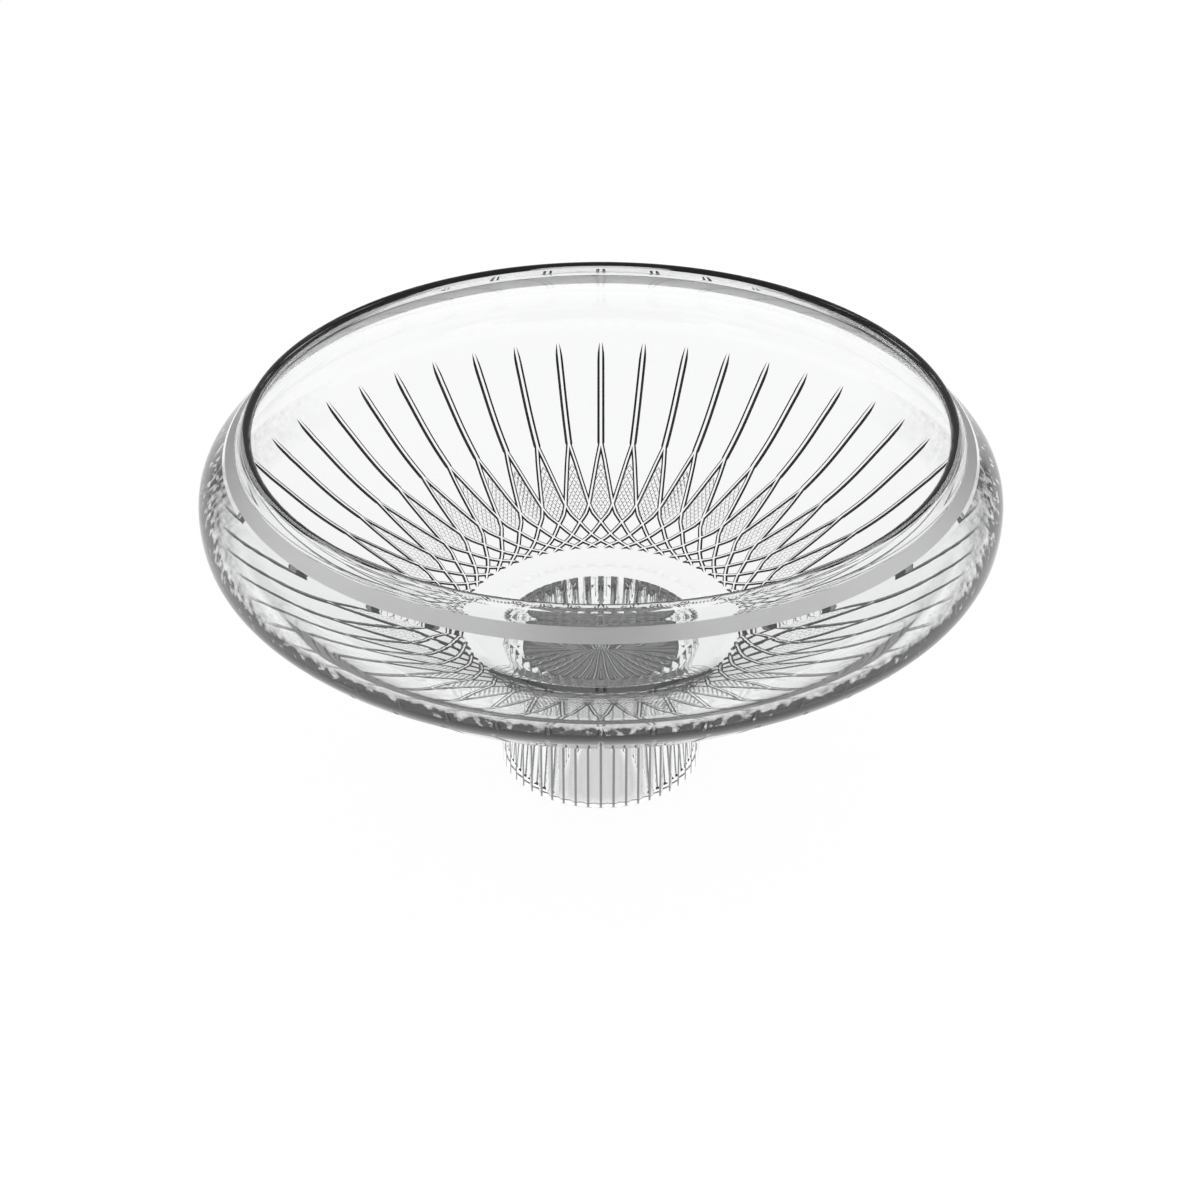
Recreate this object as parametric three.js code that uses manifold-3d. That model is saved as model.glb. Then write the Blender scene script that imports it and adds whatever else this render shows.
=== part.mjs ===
// Footed punch bowl in cut crystal.
//
// Two pieces of glass: the bowl, a turned shell with a flared collar, a round belly and a shallow cut
// underside, and the foot, a fluted drum bonded under it. Units are millimetres, +Z is up, and the
// origin is the middle of the face that the foot stands on.

import * as THREE from 'three';
import { mergeVertices } from 'three/addons/utils/BufferGeometryUtils.js';
import Module from 'manifold-3d';

const wasm = await Module();
wasm.setup();

// ---- driving dimensions ----

const CUTS = 50; // mitre cuts round the bowl, and flutes round the foot
const PITCH = 2 * Math.PI / CUTS;
const RIM_HEIGHT = 180; // standing height of the whole object
const RIM_RADIUS = 157.6;
const RIM_WALL = 4.8;
const BELLY_RADIUS = 178;
const BELLY_HEIGHT = 143.7;
const BELLY_WALL = 6;
const FLOOR_HEIGHT = 69.6; // inside, at the middle
const FOOT_RADIUS = 46.5;
const FOOT_HEIGHT = 64.3;
const BOND_GAP = 0.3; // the clear adhesive between foot and bowl

// Points of the half outline, radius and height. A pull is the handle of a Bezier curve at one of them.
const COLLAR_EDGE = point(159.8, 173.6); // fine edge half way down the collar
const COLLAR_BASE = point(165.5, 167.2); // where the collar meets the shoulder
const COLLAR_PULL = point(5, -6);
const SHOULDER_PULL = point(0, 13);
const BELLY = point(BELLY_RADIUS, BELLY_HEIGHT);
const BELLY_PULL = point(0, -12);
const CUT_TOP = point(169.4, 122.7); // the underside: three points on its curve
const CUT_TOP_PULL = point(5, 5);
const CUT_MIDDLE = point(132, 95.6);
const CUT_BOTTOM = point(68, 68.6);
const BONDED_EDGE = point(FOOT_RADIUS + 1.5, FOOT_HEIGHT + BOND_GAP);

const INNER_RIM = point(RIM_RADIUS - RIM_WALL, RIM_HEIGHT - RIM_WALL / 2);
const INNER_RIM_PULL = point(0.5, -5);
const INNER_COLLAR = point(160.9, 163.4); // under the collar, where the wall turns parallel
const INNER_COLLAR_UP = point(-3.4, 4.1);
const INNER_COLLAR_DOWN = point(4.2, -5.1);
const INNER_BELLY = point(BELLY_RADIUS - BELLY_WALL, BELLY_HEIGHT);
const INNER_BELLY_UP = point(0, 11);
const INNER_BELLY_DOWN = point(0, -12);
const INNER_SLOPE = point(159, 122.5); // where the belly turns into the sloping floor
const INNER_SLOPE_PULL = point(7, 6.5);
const INNER_FLOOR = [point(126, 102), point(72, 80), point(0, FLOOR_HEIGHT)];

const GROOVE_WIDTH = 2.6; // of a mitre cut at the surface
const GROOVE_DEPTH = 1.3;
const GROOVE_TOP_RADIUS = 173.2; // a cut starts in a point just under the belly
const GROOVE_END_RADIUS = 122; // and ends where the fine lattice begins
const GROOVE_STEPS = 4;

const FLUTE_DEPTH = 1.6;
const FLUTE_LAND = 0.05; // half the flat land between two flutes, as a share of the pitch
const FOOT_BEVEL = 1.2;
const RECESS_RADIUS = 39; // hollow under the foot
const RECESS_HEIGHT = 34;
const RECESS_DRAFT = 2; // its wall leans in by this much

const AROUND = 2 * CUTS; // facets of a turned surface, so that each cut has two
const LIP_STEPS = 3;
const CURVE_STEPS = 4;
const WELD = 1e-4;

function point(radius, height) {
  return new THREE.Vector2(radius, height);
}

// ---- materials ----

const CLEAR_COLOUR = 0xf2f5f6;
const CUT_COLOUR = 0xe6eaec; // a shade darker, because the flutes and the star send light aside
const ROUGHNESS = 0.03;
const OPACITY = 0.45;

function crystal(name, color) {
  const glass = new THREE.MeshStandardMaterial({ color, roughness: ROUGHNESS, metalness: 0 });
  glass.name = name;
  glass.transparent = true;
  glass.opacity = OPACITY;
  return glass;
}

// ---- solids ----

// A closed geometry becomes a manifold solid once its seams are welded.
function toSolid(geometry) {
  const bare = geometry.clone();
  bare.deleteAttribute('normal');
  bare.deleteAttribute('uv');
  const welded = mergeVertices(bare, WELD);
  return new wasm.Manifold(new wasm.Mesh({
    numProp: 3,
    vertProperties: new Float32Array(welded.attributes.position.array),
    triVerts: new Uint32Array(welded.index.array),
  }));
}

function toGeometry(solid) {
  const mesh = solid.getMesh();
  const geometry = new THREE.BufferGeometry();
  geometry.setAttribute('position', new THREE.BufferAttribute(mesh.vertProperties, 3));
  geometry.setIndex(new THREE.BufferAttribute(mesh.triVerts, 1));
  return geometry;
}

// A half outline, from the axis up to the axis, turned round +Z.
function turned(outline, facets) {
  return new THREE.LatheGeometry(outline, facets).rotateX(Math.PI / 2);
}

// ---- the bowl ----

// Points along a Bezier curve that leaves and arrives in the given directions.
function bend(from, fromPull, to, toPull, steps) {
  const start = from.clone().add(fromPull);
  const end = to.clone().add(toPull);
  return new THREE.CubicBezierCurve(from, start, end, to).getPoints(steps);
}

// The underside, from the belly in to the face that the foot is bonded to.
function undersideCurve() {
  const upper = bend(BELLY, BELLY_PULL, CUT_TOP, CUT_TOP_PULL, CURVE_STEPS);
  const lower = new THREE.SplineCurve([CUT_TOP, CUT_MIDDLE, CUT_BOTTOM, BONDED_EDGE]);
  return [...upper, ...lower.getPoints(2 * CURVE_STEPS).slice(1)];
}

// The outside, from the bonded face out to the belly and up to the rim's outer edge.
function outerCurve() {
  const shoulder = bend(COLLAR_BASE, COLLAR_PULL, BELLY, SHOULDER_PULL, CURVE_STEPS);
  const collar = [point(RIM_RADIUS, RIM_HEIGHT - RIM_WALL / 2), COLLAR_EDGE];
  return [...collar, ...shoulder, ...undersideCurve().slice(1)].reverse();
}

// The rim's rounded top: half a circle from the outside to the inside.
function lip() {
  const round = RIM_WALL / 2;
  const points = [];
  for (let step = 1; step <= LIP_STEPS; step += 1) {
    const angle = Math.PI * step / (LIP_STEPS + 1);
    const radius = RIM_RADIUS - round + round * Math.cos(angle);
    const height = RIM_HEIGHT - round + round * Math.sin(angle);
    points.push(point(radius, height));
  }
  return points;
}

// The inside, from the rim down to the middle of the floor.
function innerCurve() {
  const neck = bend(INNER_RIM, INNER_RIM_PULL, INNER_COLLAR, INNER_COLLAR_UP, CURVE_STEPS / 2);
  const over = bend(INNER_COLLAR, INNER_COLLAR_DOWN, INNER_BELLY, INNER_BELLY_UP, CURVE_STEPS);
  const under = bend(INNER_BELLY, INNER_BELLY_DOWN, INNER_SLOPE, INNER_SLOPE_PULL, CURVE_STEPS);
  const floor = new THREE.SplineCurve([INNER_SLOPE, ...INNER_FLOOR]).getPoints(2 * CURVE_STEPS);
  return [...neck, ...over.slice(1), ...under.slice(1), ...floor.slice(1)];
}

// Height of the underside at a radius, by straight lines between its points.
function heightAt(outline, radius) {
  const next = outline.findIndex((p) => p.x >= radius);
  const low = outline[next - 1];
  const high = outline[next];
  return low.y + (high.y - low.y) * (radius - low.x) / (high.x - low.x);
}

// One mitre cut: a V that follows the underside, and dips out of the glass at both pointed ends.
function mitreCut(underside) {
  const middle = (GROOVE_TOP_RADIUS + GROOVE_END_RADIUS) / 2;
  const half = (GROOVE_TOP_RADIUS - GROOVE_END_RADIUS) / 2;
  const route = [];
  for (let step = 0; step <= GROOVE_STEPS; step += 1) {
    const radius = middle + half * Math.cos(Math.PI * step / GROOVE_STEPS);
    const atEnd = step === 0 || step === GROOVE_STEPS;
    const drop = atEnd ? GROOVE_DEPTH : 0;
    route.push(new THREE.Vector3(radius, 0, heightAt(underside, radius) - drop));
  }
  const vee = new THREE.Shape([
    point(-GROOVE_WIDTH, -GROOVE_DEPTH),
    point(GROOVE_WIDTH, -GROOVE_DEPTH),
    point(0, GROOVE_DEPTH),
  ]);
  return new THREE.ExtrudeGeometry(vee, {
    steps: GROOVE_STEPS,
    extrudePath: new THREE.CatmullRomCurve3(route),
    bevelEnabled: false,
  });
}

function bowlSolid() {
  const shell = toSolid(turned([
    point(0, FOOT_HEIGHT + BOND_GAP),
    ...outerCurve(),
    ...lip(),
    ...innerCurve(),
  ], AROUND));
  const cut = mitreCut(undersideCurve().reverse());
  const cutters = [];
  for (let index = 0; index < CUTS; index += 1) {
    cutters.push(toSolid(cut.clone().rotateZ((index + 0.5) * PITCH)));
  }
  return shell.subtract(wasm.Manifold.union(cutters));
}

// ---- the foot ----

// Outline of the drum: flat lands with a V flute between each two.
function flutedOutline() {
  const outline = [];
  for (let index = 0; index < CUTS; index += 1) {
    const land = (index + 0.5) * PITCH;
    const valley = land + PITCH / 2;
    const floor = FOOT_RADIUS - FLUTE_DEPTH;
    for (const angle of [land - FLUTE_LAND * PITCH, land + FLUTE_LAND * PITCH]) {
      outline.push(point(FOOT_RADIUS * Math.cos(angle), FOOT_RADIUS * Math.sin(angle)));
    }
    outline.push(point(floor * Math.cos(valley), floor * Math.sin(valley)));
  }
  return new THREE.Shape(outline);
}

// Turned blank of the foot: bevelled at both ends, with the recess under it.
function footBlank() {
  const over = FOOT_RADIUS + FLUTE_DEPTH;
  return toSolid(turned([
    point(0, RECESS_HEIGHT),
    point(RECESS_RADIUS - RECESS_DRAFT, RECESS_HEIGHT),
    point(RECESS_RADIUS, 0),
    point(FOOT_RADIUS - FOOT_BEVEL, 0),
    point(over - FOOT_BEVEL, FLUTE_DEPTH),
    point(over, FLUTE_DEPTH + FOOT_BEVEL),
    point(over, FOOT_HEIGHT - FOOT_BEVEL),
    point(over - FOOT_BEVEL, FOOT_HEIGHT),
    point(0, FOOT_HEIGHT),
  ], AROUND));
}

function footSolid() {
  const drum = new THREE.ExtrudeGeometry(flutedOutline(), { depth: FOOT_HEIGHT, bevelEnabled: false });
  return footBlank().intersect(toSolid(drum));
}

// ---- assembly ----

function piece(name, solid, material) {
  const mesh = new THREE.Mesh(toGeometry(solid), material);
  mesh.name = name;
  return mesh;
}

const punchBowl = new THREE.Group();
punchBowl.add(piece('bowl', bowlSolid(), crystal('clear_crystal', CLEAR_COLOUR)));
punchBowl.add(piece('foot', footSolid(), crystal('cut_crystal', CUT_COLOUR)));

export default punchBowl;
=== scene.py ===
# %% [markdown]
# # A footed punch bowl in cut crystal
#
# The bowl is one thick shell of clear crystal, turned smooth inside and cut outside: fifty long mitre
# cuts run in from the belly, each splits in two, and the halves cross their neighbours in a lattice.
# Under it stands a drum of the same glass, fluted round its side, with a star in its hollow base.
#
# Clear glass has no colour to paint, so most of what is seen is shape: each cut is a real groove, and the
# render bends light through it. A few faces are also painted darker, as painted reflection and shade in
# place of what real cut glass reflects. The imported model gives the outer sizes, and the glass is made to
# fit them.

# %% Frame, sizes and the box of each imported part
import math

import bmesh
import bpy
from mathutils import Matrix, Vector


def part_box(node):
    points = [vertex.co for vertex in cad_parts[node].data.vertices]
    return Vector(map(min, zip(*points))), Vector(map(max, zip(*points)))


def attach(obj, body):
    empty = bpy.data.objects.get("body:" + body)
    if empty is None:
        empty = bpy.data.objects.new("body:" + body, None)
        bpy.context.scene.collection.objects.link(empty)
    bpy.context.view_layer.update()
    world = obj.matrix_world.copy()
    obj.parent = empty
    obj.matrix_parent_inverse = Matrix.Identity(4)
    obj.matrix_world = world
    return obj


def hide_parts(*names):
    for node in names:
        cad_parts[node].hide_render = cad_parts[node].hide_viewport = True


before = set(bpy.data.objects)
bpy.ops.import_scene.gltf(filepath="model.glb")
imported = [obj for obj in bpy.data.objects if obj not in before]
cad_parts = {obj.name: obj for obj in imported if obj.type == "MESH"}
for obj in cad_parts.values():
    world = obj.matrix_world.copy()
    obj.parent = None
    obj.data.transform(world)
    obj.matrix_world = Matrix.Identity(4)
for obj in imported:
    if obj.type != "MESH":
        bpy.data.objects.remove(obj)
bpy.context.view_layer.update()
MM = 0.001

bowl_low, bowl_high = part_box("bowl")
_, foot_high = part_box("foot")
RIM_HEIGHT = bowl_high.z / MM
BELLY_RADIUS = bowl_high.x / MM
BOND_HEIGHT = bowl_low.z / MM
FOOT_HEIGHT = foot_high.z / MM
FOOT_RADIUS = foot_high.x / MM
print(f"rim {RIM_HEIGHT:.1f}, belly {BELLY_RADIUS:.1f}, foot {FOOT_RADIUS:.1f} x {FOOT_HEIGHT:.1f} mm")

# %% [markdown]
# ## Repeating a cut
#
# The bowl is the same in every fiftieth of a turn, and each fiftieth is its own mirror image. So only
# one half of one sector is modelled. It is mirrored, turned round the axis fifty times and welded, which
# makes the joins exact, because every seam is a copy of the same edge.

# %% Counts and tolerances
CUTS = 50
PITCH = 2 * math.pi / CUTS
HALF_STEPS = 2
WELD = 0.001
TINY_EDGE = 0.02
print(f"{CUTS} cuts, one every {math.degrees(PITCH):.1f} degrees")

# %% [markdown]
# ## Four slots on one piece of glass, some with painted shade
#
# On the real bowl some faces look dark or frosted, although all of it is one glass. A mesh can hold several
# materials in numbered slots, and a boolean cut keeps each face's number. So the blank and every cutter
# carry the same four slots: clear glass, the sides of a cut with a painted dark reflection, the satin band
# round the collar, and the outer belly with painted shade at its edge. The foot uses the same four numbers
# for materials of its own, among them painted shade on its star, its lands and its bevels.

# %% Slots
# The second slot is painted dark, the fourth has painted shade, and on the foot the third holds painted
# shade.
CLEAR, DARK_PAINTED_FACET, SATIN_AND_FOOT_PAINTED_SHADE, BELLY_SHADE_SLOT = range(4)
SLOT_NAMES = ("clear_crystal", "cut_facet_painted_dark", "satin_collar", "belly_edge_painted_shade")
glass_slots = [bpy.data.materials.new(name) for name in SLOT_NAMES]
print(f"slots: {', '.join(SLOT_NAMES)}")

# %% [markdown]
# ## Outlines
#
# A turned piece is known by its half outline: radius across, height up. Straight runs need two points;
# the round ones are Bezier curves, and the cut underside is a smooth curve through a few chosen points.
# All the outlines are in millimetres, and the meshes are brought down to metres at the end.


# %% Curves in the outline
def bezier(start, leave, end, arrive, steps):
    """Points after start along a curve that leaves and arrives by the two pulls."""
    a, d = Vector(start), Vector(end)
    b, c = a + Vector(leave), d + Vector(arrive)
    points = []
    for step in range(1, steps + 1):
        t = step / steps
        u = 1 - t
        points.append(u * u * u * a + 3 * u * u * t * b + 3 * u * t * t * c + t * t * t * d)
    return points


def smooth_through(knots, steps):
    """A Catmull-Rom curve through the knots, from the first to the last."""
    knots = [Vector(k) for k in knots]
    ends = [2 * knots[0] - knots[1], *knots, 2 * knots[-1] - knots[-2]]
    points = [knots[0]]
    for i in range(1, len(knots)):
        p0, p1, p2, p3 = ends[i - 1:i + 3]
        for step in range(1, steps + 1):
            t = step / steps
            points.append(0.5 * (2 * p1 + (p2 - p0) * t + (2 * p0 - 5 * p1 + 4 * p2 - p3) * t * t
                                 + (3 * p1 - p0 - 3 * p2 + p3) * t * t * t))
    return points


# %% The bowl's outside, from the bonded face up to the rim
RIM_RADIUS = 157.6
RIM_WALL = 4.8
BELLY_HEIGHT = 143.7
BELLY = (BELLY_RADIUS, BELLY_HEIGHT)
BELLY_UP = (0, 13)
BELLY_DOWN = (0, -12)
BOND_LAND = 1.5
BONDED_EDGE = (FOOT_RADIUS + BOND_LAND, BOND_HEIGHT)
COLLAR_EDGE = (159.8, 173.6)
COLLAR_BASE = (165.5, 167.2)
COLLAR_PULL = (5, -6)
UNDER_BELLY = (169.4, 122.7)
UNDER_BELLY_PULL = (5, 5)
CUT_MIDDLE = (132, 95.6)
CUT_BOTTOM = (68, 68.6)
LONG_CURVE_STEPS = 14
BELLY_STEPS = 12

underside = smooth_through([BONDED_EDGE, CUT_BOTTOM, CUT_MIDDLE, UNDER_BELLY], LONG_CURVE_STEPS)
belly_lower = bezier(UNDER_BELLY, UNDER_BELLY_PULL, BELLY, BELLY_DOWN, BELLY_STEPS)
shoulder = bezier(BELLY, BELLY_UP, COLLAR_BASE, COLLAR_PULL, LONG_CURVE_STEPS)
print(f"the underside has {len(underside)} points")

# %% The collar and the rounded lip
ROUND_PULL = 0.6
ROUND_STEPS = 4
COLLAR_ROUND = 0.9


def rounded_step(before, corner, after, size):
    """The corner of an outline, turned into a small curve."""
    corner = Vector(corner)
    into = corner + (Vector(before) - corner).normalized() * size
    out = corner + (Vector(after) - corner).normalized() * size
    return [into, *bezier(into, (corner - into) * ROUND_PULL, out, (corner - out) * ROUND_PULL, ROUND_STEPS)]


def lip(steps=10):
    """Half a circle over the top of the wall, from outside to inside."""
    middle = Vector((RIM_RADIUS - RIM_WALL / 2, RIM_HEIGHT - RIM_WALL / 2))
    points = []
    for step in range(steps + 1):
        angle = math.pi * step / steps
        points.append(middle + Vector((math.cos(angle), math.sin(angle))) * RIM_WALL / 2)
    return points


lip_points = lip()
collar = [*rounded_step(shoulder[-2], COLLAR_BASE, COLLAR_EDGE, COLLAR_ROUND),
          *rounded_step(COLLAR_BASE, COLLAR_EDGE, lip_points[0], COLLAR_ROUND)]
print(f"the lip is {RIM_WALL} mm thick")

# %% [markdown]
# ## The inside
#
# A wall with parallel faces shifts the view through it a little and leaves it straight, as a window pane
# does. Where the two faces drift apart, the wall becomes a lens and bends all that stands behind it. The
# real bowl's shoulder is as clear as a window, so its inside is made from its outside: the same line, moved
# inwards by the wall, square to itself at every point. The floor is thicker where cuts take glass away.

# %% The bowl's inside, from the rim down to the middle of the floor
BELLY_WALL = 6
INNER_BELLY = (BELLY_RADIUS - BELLY_WALL, BELLY_HEIGHT)
INNER_UNDER = (159, 122.5)
INNER_UNDER_PULL = (7, 6.5)
FLOOR_HEIGHT = 69.6
FLOOR_KNOTS = [INNER_UNDER, (126, 102), (72, 80), (0, FLOOR_HEIGHT)]
FLOOR_STEPS = 13
NECK_PULL = (0.5, -5)
NECK_REACH = 5.3
NECK_STEPS = 8


def parallel(line, gap):
    """The same line moved inwards by the gap, square to itself at every point."""
    moved = []
    for before, here, after in zip([line[0], *line], line, [*line[1:], line[-1]]):
        along = (after - before).normalized()
        moved.append(here + Vector((-along.y, along.x)) * gap)
    return moved


inner_shoulder = [Vector(INNER_BELLY), *parallel([Vector(BELLY), *shoulder], BELLY_WALL)[1:]]
into_shoulder = (inner_shoulder[-1] - inner_shoulder[-2]).normalized() * NECK_REACH
neck = bezier(lip_points[-1], NECK_PULL, inner_shoulder[-1], into_shoulder, NECK_STEPS)
inner_belly = bezier(INNER_BELLY, BELLY_DOWN, INNER_UNDER, INNER_UNDER_PULL, BELLY_STEPS)
floor = smooth_through(FLOOR_KNOTS, FLOOR_STEPS)
inside = [*neck, *reversed(inner_shoulder[:-1]), *inner_belly, *floor[1:]]
outside = [*underside, *belly_lower, *shoulder[:-1], *collar]
print(f"outside {len(outside)} points, inside {len(inside)} points")

# %% [markdown]
# ## The wedge
#
# A boolean cut needs a closed solid. So the outline is made one face, and that face is spun through half
# a sector. The spin leaves a cap at each end. They close the solid for the cutting and are taken off
# afterwards, before the mirror.


# %% Spinning an outline into a closed wedge
def wedge(outline, angle, steps):
    """A closed slice of a turned solid, from the XZ plane round +Z."""
    mesh = bmesh.new()
    corners = [mesh.verts.new((p[0], 0, p[1])) for p in outline]
    mesh.faces.new(corners)
    bmesh.ops.spin(mesh, geom=mesh.faces[:], cent=(0, 0, 0), axis=(0, 0, 1), angle=angle, steps=steps)
    bmesh.ops.remove_doubles(mesh, verts=mesh.verts[:], dist=WELD)
    bmesh.ops.dissolve_degenerate(mesh, edges=mesh.edges[:], dist=WELD)
    bmesh.ops.recalc_face_normals(mesh, faces=mesh.faces[:])
    return mesh


def to_object(mesh, name, materials=()):
    """A bmesh as an object in the scene."""
    data = bpy.data.meshes.new(name)
    mesh.to_mesh(data)
    mesh.free()
    for material in materials:
        data.materials.append(material)
    made = bpy.data.objects.new(name, data)
    bpy.context.scene.collection.objects.link(made)
    return made


# %% The bowl's blank and its finishes
FACES_OUT = 0.3
BAND_MARGIN = 0.7
THICK_BELOW = 4

bowl_outline = [(0, BOND_HEIGHT), *outside, *lip_points, *inside]
blank = wedge(bowl_outline, PITCH / 2, HALF_STEPS)
for face in blank.faces:
    middle = face.calc_center_median()
    is_cap = len(face.verts) > 4
    if is_cap or face.normal.xy.dot(middle.xy.normalized()) < FACES_OUT:
        continue
    if COLLAR_BASE[1] + BAND_MARGIN < middle.z < COLLAR_EDGE[1] - BAND_MARGIN:
        face.material_index = SATIN_AND_FOOT_PAINTED_SHADE
    # Painted shade: the outer belly gets the slot that is painted darker at its edge.
    elif UNDER_BELLY[1] - THICK_BELOW < middle.z < COLLAR_BASE[1] - BAND_MARGIN:
        face.material_index = BELLY_SHADE_SLOT
open_edges = sum(1 for e in blank.edges if len(e.link_faces) != 2)
print(f"wedge: {len(blank.faces)} faces, {open_edges} open edges")

# %% [markdown]
# ## The cutting wheel
#
# A mitre cut is made by a grinding wheel with a V edge. Its stand-in is a bar with a V section, built one
# station at a time: the end face is extruded on the spot, and the new ring is carried to the next station by
# the change between the two stations' frames. The bottom of the V has a narrow flat, as polishing leaves. A
# dark cutter gives its other faces the slot painted near black, a painted reflection, and leaves the flat
# clear, so that a bright line runs through the middle of each dark cut.


# %% Where the underside is, and which way it faces
def underside_at(turn, radius):
    """Place and outward direction at a turn, counted in cuts, and a radius."""
    line = [*underside, *belly_lower]
    near = next(i for i in range(1, len(line)) if line[i].x >= radius or i == len(line) - 1)
    low, high = line[near - 1], line[near]
    share = (radius - low.x) / (high.x - low.x)
    height = low.y + (high.y - low.y) * share
    slope = (high - low).normalized()
    turned = Matrix.Rotation(turn * PITCH, 3, "Z")
    return turned @ Vector((radius, 0, height)), turned @ Vector((slope.y, 0, -slope.x))


place, out = underside_at(0, 128)
print(f"at radius 128 the underside is {place.z:.1f} mm up and faces {tuple(round(v, 2) for v in out)}")

# %% One cutter from a route of (turn, radius, half width, depth, lift)
VEE_FLAT = 0.34
VEE_RISE = 0.7
BOTTOM_LIMIT = -0.5


def station_frame(place, along, out, half_width, depth):
    """Unit X is half the cut's width, unit Y its depth out of the glass, and Z the way it runs."""
    out = (out - along * out.dot(along)).normalized()
    side = along.cross(out).normalized()
    columns = (side * half_width, out * depth, along, place)
    rows = [[column[i] for column in columns] for i in range(3)]
    return Matrix([*rows, (0, 0, 0, 1)])


def cutter(mesh, route, flat, dark):
    """Adds a closed V bar that follows the route along the underside."""
    outs, places = [], []
    for turn, radius, _, depth, lift in route:
        place, out = underside_at(turn, radius)
        places.append(place + out * depth * lift)
        outs.append(out)
    frames = []
    for i, (_, _, half_width, depth, _) in enumerate(route):
        along = (places[min(i + 1, len(route) - 1)] - places[max(i - 1, 0)]).normalized()
        frames.append(station_frame(places[i], along, outs[i], half_width, depth))
    bar(mesh, frames, flat, dark)


def bar(mesh, frames, flat, dark=False):
    """A closed bar of V section through the frames."""
    rise = 1 + VEE_RISE * (1 - flat)
    section = ((-flat, -1, 0), (flat, -1, 0), (rise, VEE_RISE, 0), (-rise, VEE_RISE, 0))
    start = end = mesh.faces.new([mesh.verts.new(frames[0] @ Vector(p)) for p in section])
    for now, following in zip(frames, frames[1:]):
        grown = bmesh.ops.extrude_face_region(mesh, geom=[end])["geom"]
        ring = [g for g in grown if isinstance(g, bmesh.types.BMVert)]
        grown_end = next(g for g in grown if isinstance(g, bmesh.types.BMFace))
        if end is not start:
            bmesh.ops.delete(mesh, geom=[end], context="FACES_ONLY")
        end = grown_end
        bmesh.ops.transform(mesh, matrix=following @ now.inverted(), verts=ring)
        # Painted dark: on a dark cutter every face but the bottom flat gets the slot painted near black.
        for face in {f for e in end.edges for f in e.link_faces}:
            local = [following.inverted() @ v.co for v in face.verts if v in ring]
            on_bottom = max(p.y for p in local) < BOTTOM_LIMIT
            face.material_index = CLEAR if on_bottom or not dark else DARK_PAINTED_FACET


def tool(name, routes, flat, dark):
    """One object that holds cutters which don't meet each other."""
    mesh = bmesh.new()
    for route in routes:
        cutter(mesh, route, flat, dark)
    bmesh.ops.recalc_face_normals(mesh, faces=mesh.faces[:])
    return to_object(mesh, name, glass_slots)


# %% [markdown]
# ## The long cuts and their legs
#
# A long cut starts in a point just under the belly, where the wheel touches the glass, and runs in at full
# depth. Then it splits. Each leg sweeps sideways by almost three pitches, across its neighbours' legs, and
# lifts out of the glass. The leg's curve is given by where it crosses the others: half a pitch away, a whole
# pitch, and so on. The cutters that meet are kept in separate objects, because the solver wants closed
# solids that don't run through themselves.

# %% Long cuts
LONG_TIP = 173.4
LONG_END = 124
LONG_HALF_WIDTH = 1.8
LONG_DEPTH = 1.4
LONG_STEPS = 14
TIP_LIFT = 1.05


def long_route():
    """Dips into the glass over the first two stations and comes out of it at the last one."""
    route = []
    for step in range(LONG_STEPS + 1):
        share = step / LONG_STEPS
        radius = LONG_TIP + (LONG_END - LONG_TIP) * share
        lift = TIP_LIFT * max(0, 1 - step / 2) ** 2 + max(0, step - LONG_STEPS + 1)
        route.append((0, radius, LONG_HALF_WIDTH, LONG_DEPTH, lift))
    return route


long_tool = tool("long_tool", [long_route()], VEE_FLAT, True)
print(f"a long cut has {len(long_route())} stations")

# %% Legs
LEG_HALF_WIDTH = 1.2
LEG_DEPTH = 1.1
LEG_KNOTS = [(-0.03, 132), (0, 127.9), (0.5, 92.8), (1, 82.1),
             (1.5, 74.7), (2, 70.3), (2.5, 67.5), (2.85, 65.5)]
LEG_STEPS = 3
LEG_LIFT = 1.1
RIGHT_STARTS = (-2, -1, 0)
LEFT_STARTS = (0, 1, 2, 3)


def leg_route(start, side):
    """From the long cut at a turn, sideways to the right (1) or to the left (-1)."""
    route = []
    curve = smooth_through(LEG_KNOTS, LEG_STEPS)
    for i, (turn, radius) in enumerate(curve):
        stations_left = len(curve) - 1 - i
        lift = max(0, 1 - i / LEG_STEPS) + LEG_LIFT * max(0, 1 - stations_left / 2)
        route.append((start + side * turn, radius, LEG_HALF_WIDTH, LEG_DEPTH, lift))
    return route


right_tool = tool("right_tool", [leg_route(start, 1) for start in RIGHT_STARTS], VEE_FLAT, True)
left_tool = tool("left_tool", [leg_route(start, -1) for start in LEFT_STARTS], VEE_FLAT, True)
print(f"a leg has {len(leg_route(0, 1))} stations")

# %% [markdown]
# ## The fine hatching
#
# The kite between two legs is filled with fine crossed cuts, like the teeth of a file. Each line is found
# by walking along it and keeping the stretch that lies inside the kite.

# %% The kite between two legs
HATCH_TOP = 116
HATCH_MARGIN = 0.9
KITE_BOTTOM = 82.1
KITE_STEPS = 6


def leg_turn(radius, start, side):
    """How far round a leg is at a radius, counted in cuts."""
    curve = smooth_through(LEG_KNOTS, KITE_STEPS)
    for above, below in zip(curve, curve[1:]):
        if above.y >= radius >= below.y:
            share = (above.y - radius) / (above.y - below.y)
            return start + side * (above.x + (below.x - above.x) * share)


def in_kite(across, radius):
    """True where a point, so many mm off the middle line, is inside the kite."""
    if not KITE_BOTTOM < radius < HATCH_TOP:
        return False
    edge = min(abs(leg_turn(radius, 0, 1)), abs(leg_turn(radius, 1, -1)))
    return abs(across) < edge * PITCH * radius - HATCH_MARGIN


print(f"the kite is {HATCH_TOP - KITE_BOTTOM:.1f} mm long")

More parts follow.
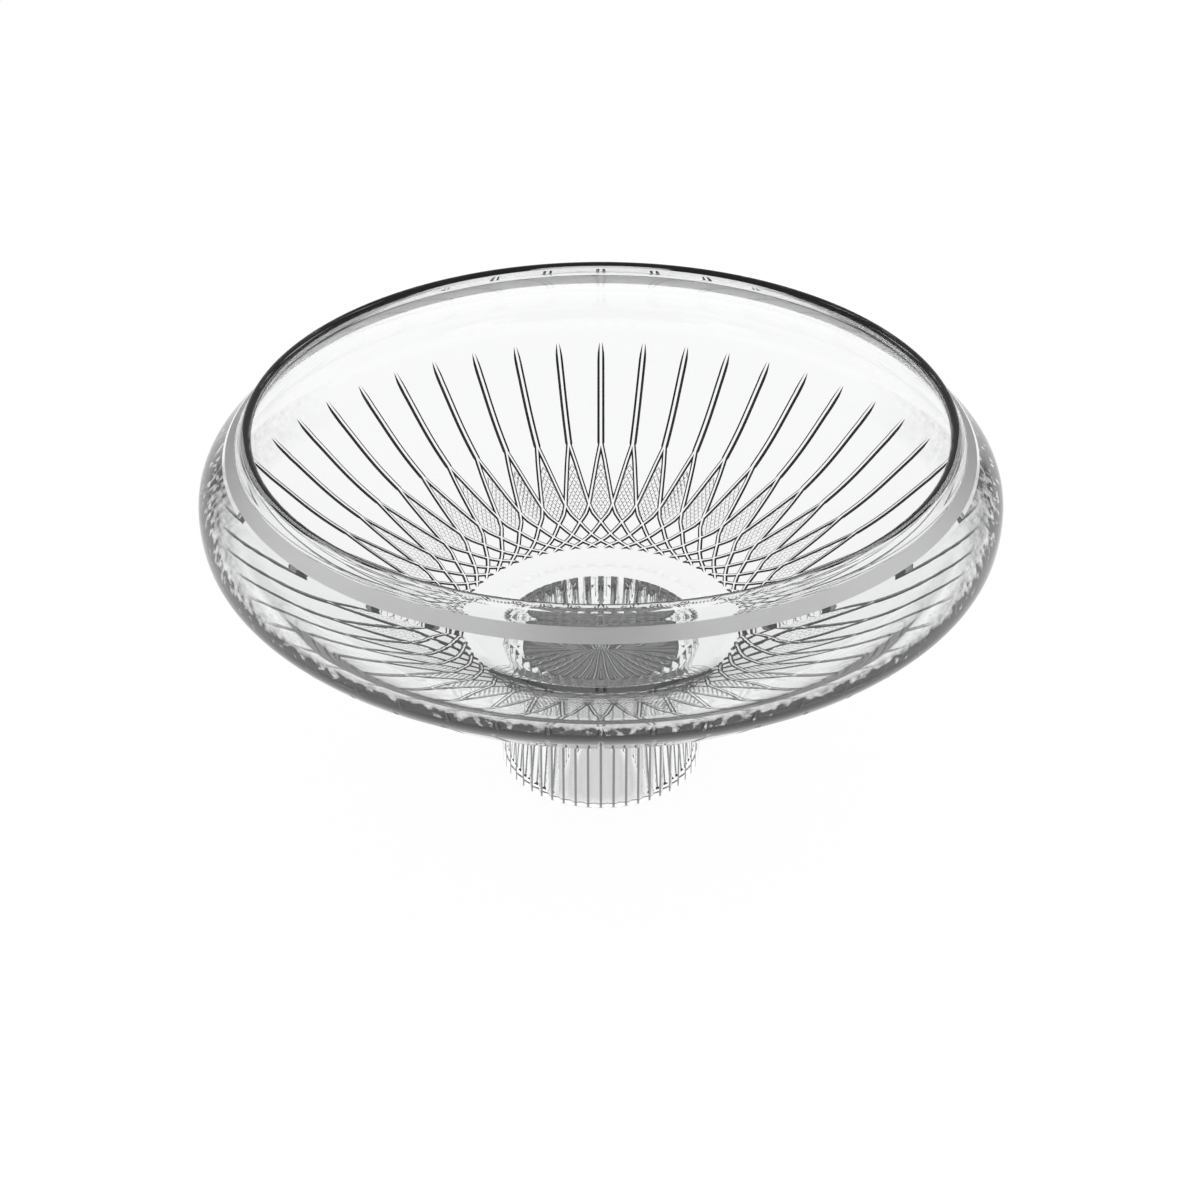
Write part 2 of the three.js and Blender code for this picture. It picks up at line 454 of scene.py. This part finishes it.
# %% Hatch lines inside a kite
HATCH_ANGLE = math.radians(28)
HATCH_STEP = 1.9
HATCH_HALF_WIDTH = 0.4
HATCH_DEPTH = 0.24
HATCH_FLAT = 0.1
HATCH_LIFT = 0.6
HATCH_STATIONS = 5
LINES_EACH_WAY = 8
WALK_STEPS = 60
WALK_STEP = 0.5


def hatch_line(start, way):
    """The stretch of a line that lies inside the kite, as points of turn and radius."""
    line = []
    for walk in range(-WALK_STEPS, WALK_STEPS + 1):
        across, radius = start + way * walk * WALK_STEP
        if in_kite(across, radius):
            line.append((across / (PITCH * radius), radius))
    return line


def hatch_routes(side):
    """The parallel lines that lean to one side, each as a few stations that are lifted at the ends."""
    routes = []
    middle = Vector((0, (HATCH_TOP + KITE_BOTTOM) / 2))
    way = Vector((side * math.sin(HATCH_ANGLE), math.cos(HATCH_ANGLE)))
    step_out = Vector((way.y, -way.x)) * HATCH_STEP
    last = HATCH_STATIONS - 1
    for number in range(-LINES_EACH_WAY, LINES_EACH_WAY + 1):
        line = hatch_line(middle + step_out * number, way)
        if len(line) <= HATCH_STATIONS:
            continue
        picked = [line[round(i * (len(line) - 1) / last)] for i in range(HATCH_STATIONS)]
        routes.append([(turn, radius, HATCH_HALF_WIDTH, HATCH_DEPTH, HATCH_LIFT if i in (0, last) else 0)
                       for i, (turn, radius) in enumerate(picked)])
    return routes


hatch_tools = [tool(f"hatch_tool_{side}", hatch_routes(side), HATCH_FLAT, False) for side in (-1, 1)]
print(f"{len(hatch_routes(1))} hatch lines each way")

# %% [markdown]
# ## From half a sector to the whole bowl
#
# Each cutter is taken off the wedge with a Boolean modifier. The Manifold solver is quick, and it leaves a
# closed mesh. Crossing cuts also leave crumbs, edges far too short to see, which would spoil the seams. So
# they are dissolved, and points that close to an end plane are put on it. The caps are then removed, the
# half is mirrored, and a spin that makes copies closes the ring. Welding the seams and an angle test for
# sharp edges finish it.


# %% Cut the half sector and open its ends
def cut_half(name, blank, tools):
    """The blank without what the cutters take off, in millimetres."""
    wedge_object = to_object(blank, name, glass_slots)
    for cutting_tool in tools:
        cutting = wedge_object.modifiers.new(cutting_tool.name, "BOOLEAN")
        cutting.operation = "DIFFERENCE"
        cutting.solver = "MANIFOLD"
        cutting.object = cutting_tool
    mesh = bmesh.new()
    mesh.from_object(wedge_object, bpy.context.evaluated_depsgraph_get())
    for used in (wedge_object, *tools):
        bpy.data.objects.remove(used)
    bmesh.ops.dissolve_degenerate(mesh, edges=mesh.edges[:], dist=TINY_EDGE)
    bmesh.ops.triangulate(mesh, faces=[f for f in mesh.faces if len(f.verts) > 4])
    return mesh


def take_caps_off(mesh, half_angle):
    """Puts the points of both ends exactly on their planes and removes the caps."""
    for plane in (Matrix.Identity(3), Matrix.Rotation(half_angle, 3, "Z")):
        flat = {v for v in mesh.verts if abs((plane.transposed() @ v.co).y) < TINY_EDGE}
        for vert in flat:
            on_plane = plane.transposed() @ vert.co
            vert.co = plane @ Vector((on_plane.x, 0, on_plane.z))
        caps = [f for f in mesh.faces if set(f.verts) <= flat]
        bmesh.ops.delete(mesh, geom=caps, context="FACES")
    bmesh.ops.delete(mesh, geom=[e for e in mesh.edges if not e.link_faces], context="EDGES")


print(f"edges under {TINY_EDGE} mm are dissolved")


# %% Mirror, spin and weld
def everything(mesh):
    return mesh.verts[:] + mesh.edges[:] + mesh.faces[:]


def close_ring(mesh, count):
    """The half sector, mirrored and repeated round the axis."""
    copy = bmesh.ops.duplicate(mesh, geom=everything(mesh))["geom"]
    copied_verts = [g for g in copy if isinstance(g, bmesh.types.BMVert)]
    copied_faces = [g for g in copy if isinstance(g, bmesh.types.BMFace)]
    bmesh.ops.scale(mesh, vec=(1, -1, 1), verts=copied_verts)
    bmesh.ops.reverse_faces(mesh, faces=copied_faces)
    turn = 2 * math.pi * (count - 1) / count
    bmesh.ops.spin(mesh, geom=everything(mesh), cent=(0, 0, 0), axis=(0, 0, 1), angle=turn,
                   steps=count - 1, use_duplicate=True)
    bmesh.ops.remove_doubles(mesh, verts=[v for v in mesh.verts if v.is_boundary], dist=WELD)
    bmesh.ops.recalc_face_normals(mesh, faces=mesh.faces[:])


def shade_smooth(mesh, sharp):
    """Smooth faces, with the edges kept crisp that turn by more than the sharp angle."""
    for face in mesh.faces:
        face.smooth = True
    for edge in mesh.edges:
        edge.smooth = len(edge.link_faces) == 2 and edge.calc_face_angle() < sharp


def sector_ring(name, blank, tools, half_angle, count, sharp):
    """The whole piece in metres, with a sector's middle at the front."""
    mesh = cut_half(name, blank, tools)
    take_caps_off(mesh, half_angle)
    half_faces = len(mesh.faces)
    close_ring(mesh, count)
    shade_smooth(mesh, sharp)
    open_edges = sum(1 for e in mesh.edges if len(e.link_faces) != 2)
    triangles = sum(len(f.verts) - 2 for f in mesh.faces)
    print(f"{name}: {half_faces} faces in the half sector, {triangles} triangles, {open_edges} open edges")
    bmesh.ops.scale(mesh, vec=(MM, MM, MM), verts=mesh.verts[:])
    bmesh.ops.rotate(mesh, matrix=Matrix.Rotation(math.pi / 2, 3, "Z"), verts=mesh.verts[:])
    return to_object(mesh, name, glass_slots)


# %% The bowl
BOWL_SHARP = math.radians(16)
bowl_tools = [long_tool, right_tool, left_tool, *hatch_tools]
bowl = sector_ring("crystal_bowl", blank, bowl_tools, PITCH / 2, CUTS, BOWL_SHARP)

# %% [markdown]
# ## The fluted foot
#
# The foot is a drum with a deep hollow under it. Fifty flutes run up its side, and a star of fifty rays,
# long and short by turns, is cut in the hollow's ceiling. Its sector is two flutes wide, so that it holds
# one long ray and one short one. The narrow lands between the flutes and the ceiling round the star are
# painted greyer than the flutes, and the bevels at both ends and the rays darker, as painted shade, because
# that is how they stand out on the real drum.

# %% Outline of the foot
FOOT_BEVEL = 1.2
RECESS_RADIUS = 39
RECESS_HEIGHT = 34
RECESS_DRAFT = 2
CEILING_ROUND = 1.5
WALL_ROUND = 0.8
FOOT_HALF_STEPS = 4
LEVEL = 0.1
UPRIGHT = 0.1
foot_sector = 2 * PITCH

ceiling_corner = (RECESS_RADIUS - RECESS_DRAFT, RECESS_HEIGHT)
foot_outline = [
    (0, RECESS_HEIGHT),
    *reversed(rounded_step((RECESS_RADIUS, 0), ceiling_corner, (0, RECESS_HEIGHT), CEILING_ROUND)),
    *rounded_step(ceiling_corner, (RECESS_RADIUS, 0), (FOOT_RADIUS, 0), WALL_ROUND),
    (FOOT_RADIUS - FOOT_BEVEL, 0),
    (FOOT_RADIUS, FOOT_BEVEL),
    (FOOT_RADIUS, FOOT_HEIGHT - FOOT_BEVEL),
    (FOOT_RADIUS - FOOT_BEVEL, FOOT_HEIGHT),
    (0, FOOT_HEIGHT),
]
foot_blank = wedge(foot_outline, foot_sector / 2, FOOT_HALF_STEPS)
for face in foot_blank.faces:
    middle = face.calc_center_median()
    if len(face.verts) > 4:
        continue
    # Painted shade: the ceiling and the lands take the greyer slot, the bevels the darker one.
    if abs(middle.z - RECESS_HEIGHT) < LEVEL:
        face.material_index = SATIN_AND_FOOT_PAINTED_SHADE
    elif middle.xy.length > FOOT_RADIUS - FOOT_BEVEL:
        face.material_index = SATIN_AND_FOOT_PAINTED_SHADE if abs(face.normal.z) < UPRIGHT else DARK_PAINTED_FACET
print(f"the foot's outline has {len(foot_outline)} points")

# %% Flute cutter
FLUTE_DEPTH = 1.6
FLUTE_HALF_WIDTH = 2.45
FLUTE_FLAT = 0.04
FLUTE_OVERRUN = 2
UP, DOWN, ACROSS = Vector((0, 0, 1)), Vector((0, 0, -1)), Vector((1, 0, 0))


def flute_tool():
    """An upright V bar in the middle between two lands, longer than the drum."""
    mesh = bmesh.new()
    turned = Matrix.Rotation(foot_sector / 4, 4, "Z")
    frames = []
    for height in (-FLUTE_OVERRUN, FOOT_HEIGHT + FLUTE_OVERRUN):
        place = Vector((FOOT_RADIUS, 0, height))
        frames.append(turned @ station_frame(place, UP, ACROSS, FLUTE_HALF_WIDTH, FLUTE_DEPTH))
    bar(mesh, frames, FLUTE_FLAT)
    bmesh.ops.recalc_face_normals(mesh, faces=mesh.faces[:])
    return to_object(mesh, "flute_tool", glass_slots)


print(f"the flutes are {FLUTE_DEPTH} mm deep")

# %% Ray cutters
RAY_HALF_WIDTH = 1.8
RAY_DEPTH = 1.5
RAY_FLAT = 0.12
RAY_TIP = 0.25
LONG_RAY = (0, 37.5)
SHORT_RAY = (17, 37.5)


def ray_tool(name, turn, ends):
    """A ray is a V bar under the ceiling that widens outwards and rises out of the glass inwards."""
    mesh = bmesh.new()
    turned = Matrix.Rotation(turn, 4, "Z")
    frames = []
    for share in (0, 0.5, 1):
        place = Vector((ends[0] + (ends[1] - ends[0]) * share, 0, RECESS_HEIGHT))
        grown = RAY_TIP + (1 - RAY_TIP) * share
        frames.append(turned @ station_frame(place, ACROSS, DOWN, RAY_HALF_WIDTH * grown, RAY_DEPTH * grown))
    bar(mesh, frames, RAY_FLAT, True)
    bmesh.ops.recalc_face_normals(mesh, faces=mesh.faces[:])
    return to_object(mesh, name, glass_slots)


long_ray = ray_tool("long_ray", 0, LONG_RAY)
short_ray = ray_tool("short_ray", foot_sector / 2, SHORT_RAY)
print(f"the rays are {RAY_DEPTH} mm deep at their outer ends")

# %% The foot
FOOT_SHARP = math.radians(20)
foot_tools = [flute_tool(), long_ray, short_ray]
foot = sector_ring("crystal_foot", foot_blank, foot_tools, foot_sector / 2, CUTS // 2, FOOT_SHARP)

# %% [markdown]
# ## Shader sums written as Python
#
# A wire stands for one output socket. Adding or multiplying wires makes the Math nodes, so that a formula
# reads like a formula. Every other node comes from one method that takes its type, settings and inputs.


# %% Wires and nodes
class Wire:
    """One output socket that can be added, subtracted and multiplied."""

    def __init__(self, nodes, socket):
        self.nodes = nodes
        self.socket = socket

    def sum(self, operation, first, second):
        return self.nodes.make("ShaderNodeMath", {"operation": operation}, {0: first, 1: second})

    def __add__(self, other):
        return self.sum("ADD", self, other)

    def __sub__(self, other):
        return self.sum("SUBTRACT", self, other)

    def __rsub__(self, other):
        return self.sum("SUBTRACT", other, self)

    def __mul__(self, other):
        return self.sum("MULTIPLY", self, other)

    __radd__ = __add__
    __rmul__ = __mul__


class Nodes:
    """Makes nodes in one tree."""

    def __init__(self, tree):
        self.tree = tree
        tree.nodes.clear()

    def make(self, kind, settings=None, inputs=None, outlet=0):
        node = self.tree.nodes.new(kind)
        for key, value in (settings or {}).items():
            setattr(node, key, value)
        for key, value in (inputs or {}).items():
            if isinstance(value, Wire):
                self.tree.links.new(value.socket, node.inputs[key])
            else:
                node.inputs[key].default_value = value
        return Wire(self, node.outputs[outlet]) if node.outputs else node


print("nodes can be made")

# %% [markdown]
# ## The painted dark edge of the belly
#
# Seen edge on, the thick glass of a real belly gathers the dark parts of the room, so the bowl's outline
# looks dark and broken there. This set has no dark room to gather. So the belly's own slot is painted
# darker, a painted reflection of that room, where its face turns away from the view, sooner low down than
# high up. The painted shade ends a little under the belly, and fine noise breaks it into streaks.

# %% Belly colour
ONSET_HEIGHTS = (0.134, 0.144)
ONSET = (0.08, 0.42)
LOWER_HEIGHTS = (0.117, 0.125)
SHADE_GAIN = 4.8
STREAK_SCALE = 260
STREAK_GAIN = 2.9
STREAK_CUT = 0.6
# The colour of the painted shade at the belly's edge.
PAINTED_EDGE_SHADE_COLOUR = (0.006, 0.006, 0.006, 1)


def ramp(nodes, value, span, levels):
    """Goes smoothly from one level to the other while the value crosses the span."""
    return nodes.make("ShaderNodeMapRange", {"interpolation_type": "SMOOTHSTEP"}, {
        "Value": value, "From Min": span[0], "From Max": span[1], "To Min": levels[0], "To Max": levels[1]})


def belly_colour_with_painted_shade(nodes, place, tint):
    """The tint, with painted shade where the thick glass turns away from the view."""
    height = nodes.make("ShaderNodeSeparateXYZ", {}, {"Vector": place}, outlet="Z")
    turned_away = nodes.make("ShaderNodeLayerWeight", {}, {"Blend": 0.5}, outlet="Facing")
    onset = ramp(nodes, height, ONSET_HEIGHTS, ONSET)
    lower_fade = ramp(nodes, height, LOWER_HEIGHTS, (0, 1))
    streaks = nodes.make("ShaderNodeTexNoise", {}, {"Vector": place, "Scale": STREAK_SCALE, "Detail": 3})
    shade = nodes.make("ShaderNodeMath", {"operation": "MULTIPLY", "use_clamp": True}, {
        0: (turned_away - onset) * SHADE_GAIN, 1: (streaks * STREAK_GAIN - STREAK_CUT) * lower_fade})
    return nodes.make("ShaderNodeMix", {"data_type": "RGBA"}, {0: shade, 6: tint, 7: PAINTED_EDGE_SHADE_COLOUR}, outlet=2)


print(f"the darkening ends {LOWER_HEIGHTS[0] / MM:.0f} mm up")

# %% [markdown]
# ## Crystal
#
# Lead crystal bends light more than window glass: its index is about 1.54. Its surface is polished but not
# perfect. Slow waves from the mould bend the light a little, and the cut parts keep a faint haze from the
# wheel. So one recipe with two noises makes every finish: the slow one makes the waves, and both together
# make the haze. A finish that is less clear is partly opaque, so that its tint shows; the dark tints of the
# cut sides and of the foot are painted shade.

# %% Crystal material
INDEX = 1.54
WAVE_SCALE = 28
WAVE_HEIGHT = 0.0006
GRAIN_HEIGHT = 0.06
HAZE_EVERYWHERE = 0.2


def crystal(material, tint, wave, haze, grain, clearness=1.0, rough=0.0, painted_edge_shade=False):
    """One finish, from its tint, the strength of its waves, its haze and how clear it is."""
    material.use_nodes = True
    nodes = Nodes(material.node_tree)
    place = nodes.make("ShaderNodeTexCoord", outlet="Object")
    slow = nodes.make("ShaderNodeTexNoise", {}, {"Vector": place, "Scale": WAVE_SCALE, "Detail": 2})
    fine = nodes.make("ShaderNodeTexNoise", {}, {"Vector": place, "Scale": grain, "Detail": 4})
    roughness = haze * fine * slow + (haze * HAZE_EVERYWHERE + rough)
    bump = nodes.make("ShaderNodeBump", {}, {
        "Strength": wave, "Distance": WAVE_HEIGHT, "Height": slow + fine * GRAIN_HEIGHT})
    glass = nodes.make("ShaderNodeBsdfPrincipled", {}, {
        "Base Color": belly_colour_with_painted_shade(nodes, place, tint) if painted_edge_shade else tint,
        "Roughness": roughness, "IOR": INDEX, "Transmission Weight": clearness, "Normal": bump})
    nodes.make("ShaderNodeOutputMaterial", {}, {"Surface": glass})


# %% The bowl's materials, two with painted dark
CLEAR_TINT = (0.985, 0.99, 0.99, 1)
# Painted dark reflection for the sides of the cuts.
CUT_SIDE_PAINTED_DARK = (0.012, 0.0125, 0.0125, 1)
SATIN_TINT = (0.97, 0.97, 0.97, 1)

crystal(glass_slots[CLEAR], CLEAR_TINT, wave=0.05, haze=0.02, grain=260)
# The belly's slot adds painted shade at its edge.
crystal(glass_slots[BELLY_SHADE_SLOT], CLEAR_TINT, wave=0.05, haze=0.02, grain=260, painted_edge_shade=True)
# The sides of the cuts are painted near black, a painted reflection.
crystal(glass_slots[DARK_PAINTED_FACET], CUT_SIDE_PAINTED_DARK, wave=0.1, haze=0.03, grain=420, clearness=0.06)
crystal(glass_slots[SATIN_AND_FOOT_PAINTED_SHADE], SATIN_TINT, wave=0.05, haze=0.05, grain=300, clearness=0.6, rough=0.5)
print(f"{len(bowl.data.materials)} finishes on the bowl")

# %% The foot's materials, with painted shade, put in place of the bowl's, slot by slot
CUT_TINT = (0.975, 0.98, 0.98, 1)
# Painted shade: the rays and bevels near black, the ceiling and lands grey.
RAY_AND_BEVEL_SHADE_TINT = (0.05, 0.05, 0.05, 1)
CEILING_AND_LAND_SHADE_TINT = (0.25, 0.25, 0.25, 1)

cut_crystal, ray_and_bevel_painted_dark, ceiling_and_land_painted_shade = [
    bpy.data.materials.new(name) for name in ("cut_crystal", "ray_and_bevel_painted_dark", "ceiling_and_land_painted_shade")]
crystal(cut_crystal, CUT_TINT, wave=0.2, haze=0.035, grain=420)
crystal(ray_and_bevel_painted_dark, RAY_AND_BEVEL_SHADE_TINT, wave=0.1, haze=0.03, grain=420, clearness=0.2, rough=0.1)
crystal(ceiling_and_land_painted_shade, CEILING_AND_LAND_SHADE_TINT, wave=0.1, haze=0.03, grain=420, clearness=0.4, rough=0.2)
# Emptying the list of slots would set every face back to the first one, so each is replaced where it is.
for slot, material in ((CLEAR, cut_crystal), (DARK_PAINTED_FACET, ray_and_bevel_painted_dark), (SATIN_AND_FOOT_PAINTED_SHADE, ceiling_and_land_painted_shade), (BELLY_SHADE_SLOT, cut_crystal)):
    foot.data.materials[slot] = material
print(f"slots of the foot: {', '.join(material.name for material in foot.data.materials)}")

# %% [markdown]
# ## Camera, floor and light
#
# Clear glass shows best against light. The floor glows white, so the glass over it is white too. The walls
# of the set are dimmer and the ceiling dimmer still, so a face that sends the view up there turns grey.
# Nothing in this set is black, which is why the sides of the cuts are painted dark instead, a painted
# reflection. The floor is also a little dimmer under the foot, a painted shadow where a real foot keeps the
# light away.

# %% Camera
AIM = Vector((0, 0, 0.08))
EYE = Vector((0, -1.0974, 0.777))
view = bpy.data.cameras.new("camera")
view.lens = 85.26
view.sensor_width = 36
view.shift_x = -0.00075
view.shift_y = 0.00675
camera = bpy.data.objects.new("camera", view)
camera.location = EYE
camera.rotation_euler = (AIM - EYE).to_track_quat("-Z", "Y").to_euler()
bpy.context.scene.collection.objects.link(camera)
bpy.context.scene.camera = camera
print(f"the camera looks down by {math.degrees(math.asin((EYE - AIM).normalized().z)):.1f} degrees")

# %% Floor
FLOOR_RADIUS = 12
FLOOR_SIDES = 96
GLOW_SHARE = 0.85
FOOT_SHADE_SPAN = (0.032, 0.044)
FOOT_SHADE = (0.65, 1.0)
SWEEP_SPAN = (1.1, 3.0)
SWEEP = (1.12, 0.45)

floor_mesh = bmesh.new()
bmesh.ops.create_circle(floor_mesh, cap_ends=True, segments=FLOOR_SIDES, radius=FLOOR_RADIUS)
floor_disc = to_object(floor_mesh, "floor")
floor_material = bpy.data.materials.new("floor")
floor_material.use_nodes = True
nodes = Nodes(floor_material.node_tree)
paper = nodes.make("ShaderNodeBsdfDiffuse", {}, {"Color": (0.9, 0.9, 0.9, 1)})
ground = nodes.make("ShaderNodeTexCoord", outlet="Object")
away = nodes.make("ShaderNodeVectorMath", {"operation": "LENGTH"}, {0: ground}, outlet="Value")
glow_strength = ramp(nodes, away, FOOT_SHADE_SPAN, FOOT_SHADE) * ramp(nodes, away, SWEEP_SPAN, SWEEP)
glow = nodes.make("ShaderNodeEmission", {}, {"Color": (1, 1, 1, 1), "Strength": glow_strength})
mixed = nodes.make("ShaderNodeMixShader", {}, {0: GLOW_SHARE, 1: paper, 2: glow})
nodes.make("ShaderNodeOutputMaterial", {}, {"Surface": mixed})
floor_disc.data.materials.append(floor_material)
print("the floor glows")

# %% World
WALL_SPAN = (-0.02, 0.3)
WALL_LIGHT = (0.6, 0.42)

world = bpy.data.worlds.new("studio")
bpy.context.scene.world = world
bpy.context.scene.view_settings.view_transform = "Standard"
world.use_nodes = True
nodes = Nodes(world.node_tree)
way = nodes.make("ShaderNodeTexCoord", outlet="Generated")
upward = nodes.make("ShaderNodeSeparateXYZ", {}, {"Vector": way}, outlet="Z")
bright = ramp(nodes, upward, WALL_SPAN, WALL_LIGHT)
sky = nodes.make("ShaderNodeBackground", {}, {"Color": (1, 1, 1, 1), "Strength": bright})
nodes.make("ShaderNodeOutputWorld", {}, {"Surface": sky})
print("light round the sides, dimmer overhead")

# %% [markdown]
# ## Joining the model
#
# Nothing on a bowl moves, so both pieces ride on the one body. Each stands for its node of the packed model,
# and that node's own mesh is hidden.

# %% Ride and replace
for piece, node, slot in ((bowl, "bowl", "clear_crystal"), (foot, "foot", "cut_crystal")):
    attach(piece, "root")
    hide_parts(node)
